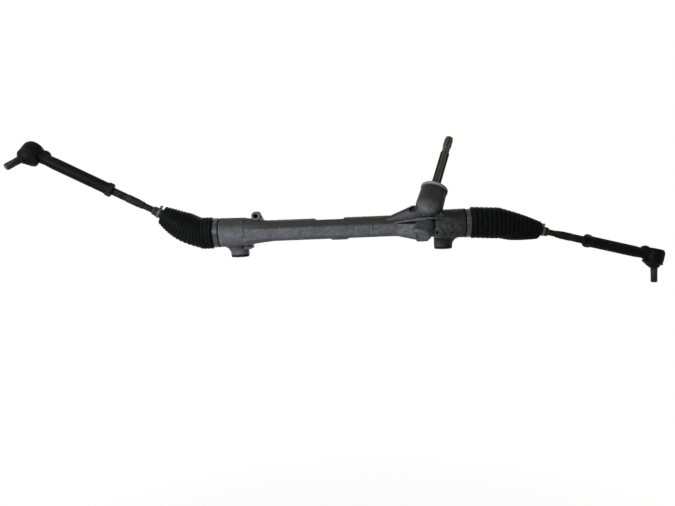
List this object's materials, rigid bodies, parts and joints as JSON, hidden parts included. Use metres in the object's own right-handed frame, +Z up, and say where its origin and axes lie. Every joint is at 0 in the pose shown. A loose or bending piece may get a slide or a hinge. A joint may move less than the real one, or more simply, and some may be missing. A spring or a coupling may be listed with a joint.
{
  "type": "steering rack",
  "caption": "Rack and pinion steering gear with bellows, tie rods and outer ball joints, bolted down by two bushed lugs.",
  "frame": {"origin": "midway between the two mounting bolts, on the plane that the lugs are bolted down to", "axes": "+X along the rack towards its pinion end, +Y to the rear (away from the side that the picture shows), +Z up along the mounting bolts"},
  "size_m": [1.2029, 0.1631, 0.3096],
  "materials": {
    "casting": "as cast, dulled",
    "shaft_steel": "machined, dulled",
    "ground_steel": "ground",
    "bearing_steel": "polished",
    "spring_steel": "oiled",
    "plated_steel": "zinc plated",
    "clamp_steel": "bright",
    "clip_steel": "dull",
    "guide_aluminium": "turned",
    "tie_rod_steel": "dark, oiled",
    "nut_steel": "dark",
    "forged_steel": "worn black paint",
    "stud_steel": "phosphated",
    "bellows_rubber": "satin",
    "boot_rubber": "matte",
    "mount_rubber": "matte",
    "seal_rubber": "matte",
    "dust_cover_plastic": "matte",
    "bearing_plastic": "matte"
  },
  "bodies": {
    "housing": {"rack_housing": "casting", "rack_bush": "bearing_plastic", "pinion_bearing_outer_ring": "bearing_steel", "pinion_needle_bearing": "bearing_steel", "pinion_end_cap": "plated_steel", "pinion_snap_ring": "spring_steel", "pinion_shaft_seal": "seal_rubber", "pinion_dust_cover": "dust_cover_plastic", "rack_guide": "guide_aluminium", "rack_guide_pad": "bearing_plastic", "rack_guide_springs": "spring_steel", "rack_guide_plug": "guide_aluminium", "rack_guide_lock_nut": "plated_steel", "left_mount_sleeve": "plated_steel", "left_mount_rubber": "mount_rubber", "left_bellows": "bellows_rubber", "left_bellows_clamp": "clamp_steel", "right_mount_sleeve": "plated_steel", "right_mount_rubber": "mount_rubber", "right_bellows": "bellows_rubber", "right_bellows_clamp": "clamp_steel"},
    "rack": {"rack_bar": "ground_steel", "left_inner_joint_socket": "ground_steel", "left_lock_washer": "plated_steel", "right_inner_joint_socket": "ground_steel", "right_lock_washer": "plated_steel"},
    "pinion": {"pinion_shaft": "shaft_steel", "pinion_bearing_inner_ring": "bearing_steel"},
    "bearing_ball_set": {"pinion_bearing_balls": "bearing_steel"},
    "left_inner_cup": {"left_inner_joint_cup": "bearing_plastic"},
    "left_tie_rod_body": {"left_tie_rod": "tie_rod_steel", "left_lock_nut": "nut_steel", "left_tie_rod_end": "forged_steel", "left_cap_plate": "nut_steel", "left_bellows_clip": "clip_steel", "left_stud_boot": "boot_rubber"},
    "left_outer_shell": {"left_ball_shell": "bearing_plastic"},
    "left_outer_stud": {"left_ball_stud": "stud_steel"},
    "right_inner_cup": {"right_inner_joint_cup": "bearing_plastic"},
    "right_tie_rod_body": {"right_tie_rod": "tie_rod_steel", "right_lock_nut": "nut_steel", "right_tie_rod_end": "forged_steel", "right_cap_plate": "nut_steel", "right_bellows_clip": "clip_steel", "right_stud_boot": "boot_rubber"},
    "right_outer_shell": {"right_ball_shell": "bearing_plastic"},
    "right_outer_stud": {"right_ball_stud": "stud_steel"}
  },
  "joints": [
    {"name": "rack_slide", "type": "slide", "parent": "housing", "child": "rack", "axis": [1, 0, 0], "range_m": [-0.078, 0.044], "deforming": ["left_bellows", "right_bellows"]},
    {"name": "pinion_spin", "type": "hinge", "parent": "housing", "child": "pinion", "pos_m": [0.1555, -0.05064, 0.05725], "axis": [0.342, 0.4412, 0.8297], "range_deg": [-361, 639]},
    {"name": "bearing_ball_orbit", "type": "hinge", "parent": "housing", "child": "bearing_ball_set", "pos_m": [0.1555, -0.05064, 0.05725], "axis": [0.342, 0.4412, 0.8297], "range_deg": [-148, 261]},
    {"name": "left_inner_swing", "type": "hinge", "parent": "rack", "child": "left_inner_cup", "pos_m": [-0.2596, -0.037, 0.05], "axis": [0, 0, 1], "range_deg": [-24, 4]},
    {"name": "left_inner_lift", "type": "hinge", "parent": "left_inner_cup", "child": "left_tie_rod_body", "pos_m": [-0.2596, -0.037, 0.05], "axis": [0.1736, -0.9848, 0], "range_deg": [-1.8, 54.7]},
    {"name": "left_outer_spin", "type": "hinge", "parent": "left_tie_rod_body", "child": "left_outer_shell", "pos_m": [-0.54034, -0.0865, 0.20607], "axis": [-0.2878, -0.6332, -0.7185], "continuous": true},
    {"name": "left_outer_tilt", "type": "hinge", "parent": "left_outer_shell", "child": "left_outer_stud", "pos_m": [-0.54034, -0.0865, 0.20607], "axis": [-0.4135, 0.7589, -0.5031], "range_deg": [-46, 4], "deforming": ["left_stud_boot"]},
    {"name": "right_inner_swing", "type": "hinge", "parent": "rack", "child": "right_inner_cup", "pos_m": [0.2965, -0.037, 0.05], "axis": [0, 0, 1], "range_deg": [-21.5, 6.5]},
    {"name": "right_inner_lift", "type": "hinge", "parent": "right_inner_cup", "child": "right_tie_rod_body", "pos_m": [0.2965, -0.037, 0.05], "axis": [0.1305, -0.9914, 0], "range_deg": [-11.6, 44.9]},
    {"name": "right_outer_spin", "type": "hinge", "parent": "right_tie_rod_body", "child": "right_outer_shell", "pos_m": [0.6086, 0.00409, -0.03082], "axis": [-0.2466, -0.0325, -0.9686], "continuous": true},
    {"name": "right_outer_tilt", "type": "hinge", "parent": "right_outer_shell", "child": "right_outer_stud", "pos_m": [0.6086, 0.00409, -0.03082], "axis": [0.1305, -0.9914, 0], "range_deg": [-40, 10], "deforming": ["right_stud_boot"]}
  ],
  "couplings": [
    {"joint": "pinion_spin", "follows": "rack_slide", "rad_per_m": -142.86},
    {"joint": "bearing_ball_orbit", "follows": "rack_slide", "rad_per_m": -58.242}
  ]
}
